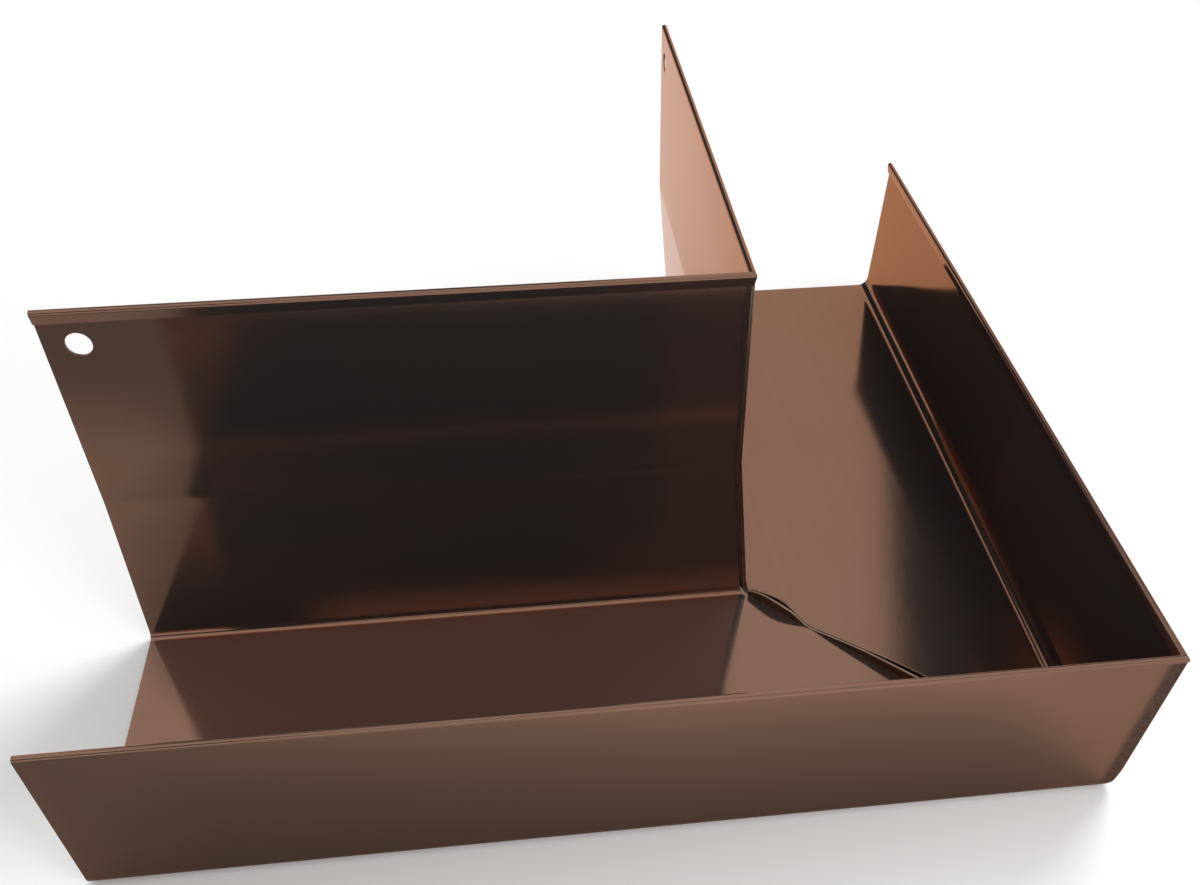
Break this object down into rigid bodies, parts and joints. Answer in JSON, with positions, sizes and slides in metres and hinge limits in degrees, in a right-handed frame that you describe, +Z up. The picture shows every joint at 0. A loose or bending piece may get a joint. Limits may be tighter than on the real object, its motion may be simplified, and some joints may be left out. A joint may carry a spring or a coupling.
{
  "type": "external gutter corner",
  "caption": "L-shaped external corner for a box gutter, folded from copper-coloured sheet, with a tall back wall, hemmed edges and a mitred floor seam.",
  "frame": {"origin": "middle of the base of the bounding box, on the underside of the floor", "axes": "+Z up; from the outer corner one leg runs along -X and the other along +Y"},
  "size_m": [0.2488, 0.2488, 0.102],
  "materials": {
    "sheet": "gloss"
  },
  "bodies": {
    "root": {"gutter_corner": "sheet"}
  },
  "joints": []
}
